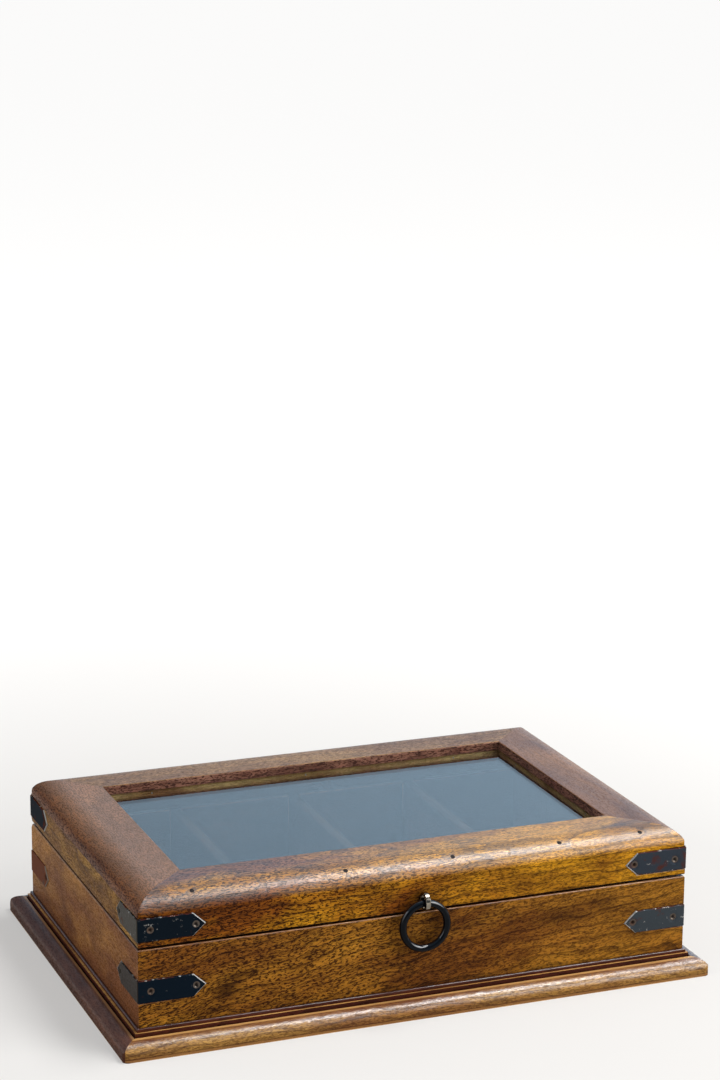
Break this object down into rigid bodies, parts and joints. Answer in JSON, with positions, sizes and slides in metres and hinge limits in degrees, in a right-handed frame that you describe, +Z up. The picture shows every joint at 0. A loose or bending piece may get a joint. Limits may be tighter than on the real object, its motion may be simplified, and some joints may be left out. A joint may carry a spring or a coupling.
{
  "type": "wooden box",
  "caption": "Low rectangular wooden box on a moulded plinth, with a hinged glass-topped lid, pointed iron corner straps, a ring pull and divided compartments inside.",
  "frame": {"origin": "under the middle of the plinth, on the surface that the box stands on", "axes": "+X to the right along the front, +Y from front to back, +Z up"},
  "size_m": [0.304, 0.211, 0.0757],
  "materials": {
    "case_wood": "oiled, satin",
    "lid_wood": "oiled, satin",
    "plinth_wood": "oiled, satin",
    "inner_wood": "plain, matt",
    "glass": "clear, polished",
    "velvet": "short pile",
    "strap_iron": "blackened, worn",
    "nail_iron": "blackened",
    "hinge_iron": "blackened",
    "pull_iron": "black, glossy",
    "screw_steel": "plain"
  },
  "bodies": {
    "case": {"plinth_front": "plinth_wood", "plinth_back": "plinth_wood", "plinth_left": "plinth_wood", "plinth_right": "plinth_wood", "plinth_screws": "screw_steel", "floor_panel": "inner_wood", "wall_front": "case_wood", "wall_back": "case_wood", "wall_left": "case_wood", "wall_right": "case_wood", "divider_1": "inner_wood", "divider_2": "inner_wood", "divider_3": "inner_wood", "floor_lining_1": "velvet", "floor_lining_2": "velvet", "floor_lining_3": "velvet", "floor_lining_4": "velvet", "case_strap_front_left": "strap_iron", "case_strap_front_right": "strap_iron", "case_strap_back_left": "strap_iron", "case_strap_back_right": "strap_iron", "case_strap_nails": "nail_iron", "hinge_case_leaf_left": "hinge_iron", "hinge_case_leaf_right": "hinge_iron", "hinge_case_screws": "screw_steel", "hinge_pin_left": "hinge_iron", "hinge_pin_right": "hinge_iron"},
    "lid": {"lid_skirt_front": "lid_wood", "lid_skirt_back": "lid_wood", "lid_skirt_left": "lid_wood", "lid_skirt_right": "lid_wood", "lid_frame_front": "lid_wood", "lid_frame_back": "lid_wood", "lid_frame_left": "lid_wood", "lid_frame_right": "lid_wood", "frame_nails": "nail_iron", "lid_glass": "glass", "glass_bead_front": "inner_wood", "glass_bead_back": "inner_wood", "glass_bead_left": "inner_wood", "glass_bead_right": "inner_wood", "bead_pins": "nail_iron", "lid_strap_front_left": "strap_iron", "lid_strap_front_right": "strap_iron", "lid_strap_back_left": "strap_iron", "lid_strap_back_right": "strap_iron", "lid_strap_nails": "nail_iron", "hinge_lid_leaf_left": "hinge_iron", "hinge_lid_leaf_right": "hinge_iron", "hinge_lid_screws": "screw_steel", "pull_eye": "pull_iron"},
    "ring": {"pull_ring": "pull_iron"}
  },
  "joints": [
    {"name": "lid_hinge", "type": "hinge", "parent": "case", "child": "lid", "pos_m": [0, 0.0925, 0.0506], "axis": [-1, 0, 0], "range_deg": [0, 100]},
    {"name": "ring_swing", "type": "hinge", "parent": "lid", "child": "ring", "pos_m": [0, -0.0996, 0.0564], "axis": [-1, 0, 0], "range_deg": [-6, 180]}
  ]
}
